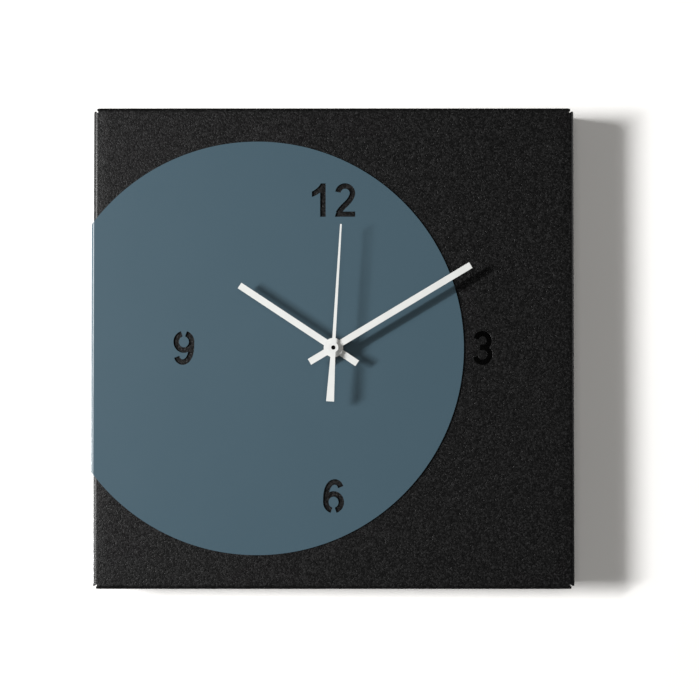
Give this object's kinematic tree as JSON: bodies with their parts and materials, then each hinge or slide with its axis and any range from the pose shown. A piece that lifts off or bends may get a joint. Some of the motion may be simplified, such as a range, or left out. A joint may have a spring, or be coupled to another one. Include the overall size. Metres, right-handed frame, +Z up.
{
  "type": "wall clock",
  "caption": "Square wall clock: bent black steel housing, round blue-grey dial folded over its left edge, cut-out numerals, white hands and a battery quartz movement.",
  "frame": {"origin": "centre of the wall screw's shank in the hanger's keyhole, on the wall plane", "axes": "-Y the way the dial faces, +Y into the wall, +Z up, +X to the right of someone reading the dial"},
  "size_m": [0.3511, 0.0566, 0.351],
  "materials": {
    "black_paint": "coarse matt black powder coat with a fine sparkle",
    "blue_paint": "smooth satin blue-grey paint",
    "white_hands": "matt white paint on aluminium sheet",
    "zinc": "zinc-plated",
    "steel": "bright steel",
    "brass": "turned",
    "rubber": "soft matt",
    "case_plastic": "moulded, fine texture",
    "gear_plastic": "moulded acetal",
    "white_plastic": "moulded",
    "amber_plastic": "moulded",
    "copper": "enamelled copper wire, wound",
    "silicon_steel": "punched sheet",
    "magnet": "sintered, dull",
    "board": "coated fibre board",
    "resin": "cast blob",
    "nickel": "nickel-plated",
    "cell_wrap": "plain film on a steel can"
  },
  "bodies": {
    "clock_case": {"housing": "black_paint", "dial_disc": "blue_paint", "hanger_bracket": "zinc", "hanger_rivet_left": "steel", "hanger_rivet_right": "steel", "rubber_gasket": "rubber", "flat_washer": "brass", "fixing_nut": "brass", "threaded_bush": "brass", "movement_case": "case_plastic", "movement_cover": "case_plastic", "gear_bridge": "white_plastic", "bridge_screw_left": "steel", "bridge_screw_right": "steel", "circuit_board": "board", "clock_chip": "resin", "quartz_crystal": "nickel", "board_screw_left": "steel", "board_screw_right": "steel", "coil_bobbin": "amber_plastic", "coil_winding": "copper", "coil_core": "silicon_steel", "stator": "silicon_steel", "coil_screw_left": "steel", "coil_screw_right": "steel", "battery": "cell_wrap", "battery_positive_contact": "nickel", "battery_negative_contact": "nickel", "battery_spring": "nickel"},
    "second_hand": {"second_hand": "white_hands", "second_wheel": "gear_plastic"},
    "minute_hand": {"minute_hand": "white_hands", "cannon_pinion": "gear_plastic"},
    "hour_hand": {"hour_hand": "white_hands", "hour_wheel": "gear_plastic"},
    "third_wheel": {"third_wheel": "gear_plastic"},
    "centre_wheel": {"centre_wheel": "gear_plastic"},
    "fifth_wheel": {"fifth_wheel": "gear_plastic"},
    "rotor": {"rotor_pinion": "gear_plastic", "rotor_magnet": "magnet"},
    "minute_wheel": {"minute_wheel": "gear_plastic"},
    "setting_knob": {"set_knob": "white_plastic"}
  },
  "joints": [
    {"name": "second_spin", "type": "hinge", "parent": "clock_case", "child": "second_hand", "pos_m": [0, -0.035, -0.158], "axis": [0, 1, 0], "continuous": true},
    {"name": "third_spin", "type": "hinge", "parent": "clock_case", "child": "third_wheel", "pos_m": [0.00862, -0.035, -0.15077], "axis": [0, 1, 0], "continuous": true},
    {"name": "centre_spin", "type": "hinge", "parent": "clock_case", "child": "centre_wheel", "pos_m": [0, -0.035, -0.158], "axis": [0, 1, 0], "continuous": true},
    {"name": "fifth_spin", "type": "hinge", "parent": "clock_case", "child": "fifth_wheel", "pos_m": [-0.00779, -0.035, -0.1535], "axis": [0, 1, 0], "continuous": true},
    {"name": "rotor_spin", "type": "hinge", "parent": "clock_case", "child": "rotor", "pos_m": [-0.01079, -0.035, -0.14528], "axis": [0, 1, 0], "continuous": true},
    {"name": "minute_spin", "type": "hinge", "parent": "clock_case", "child": "minute_hand", "pos_m": [0, -0.035, -0.158], "axis": [0, 1, 0], "continuous": true},
    {"name": "hour_spin", "type": "hinge", "parent": "clock_case", "child": "hour_hand", "pos_m": [0, -0.035, -0.158], "axis": [0, 1, 0], "continuous": true},
    {"name": "minute_wheel_spin", "type": "hinge", "parent": "clock_case", "child": "minute_wheel", "pos_m": [0, -0.035, -0.1496], "axis": [0, 1, 0], "continuous": true},
    {"name": "knob_spin", "type": "hinge", "parent": "clock_case", "child": "setting_knob", "pos_m": [0, -0.035, -0.1412], "axis": [0, 1, 0], "continuous": true}
  ],
  "couplings": [
    {"joint": "third_spin", "follows": "second_spin", "ratio": -0.125},
    {"joint": "centre_spin", "follows": "second_spin", "ratio": 0.016667},
    {"joint": "fifth_spin", "follows": "second_spin", "ratio": -5},
    {"joint": "rotor_spin", "follows": "second_spin", "ratio": 30},
    {"joint": "hour_spin", "follows": "minute_spin", "ratio": 0.083333},
    {"joint": "minute_wheel_spin", "follows": "minute_spin", "ratio": -0.33333},
    {"joint": "knob_spin", "follows": "minute_spin", "ratio": 1}
  ]
}
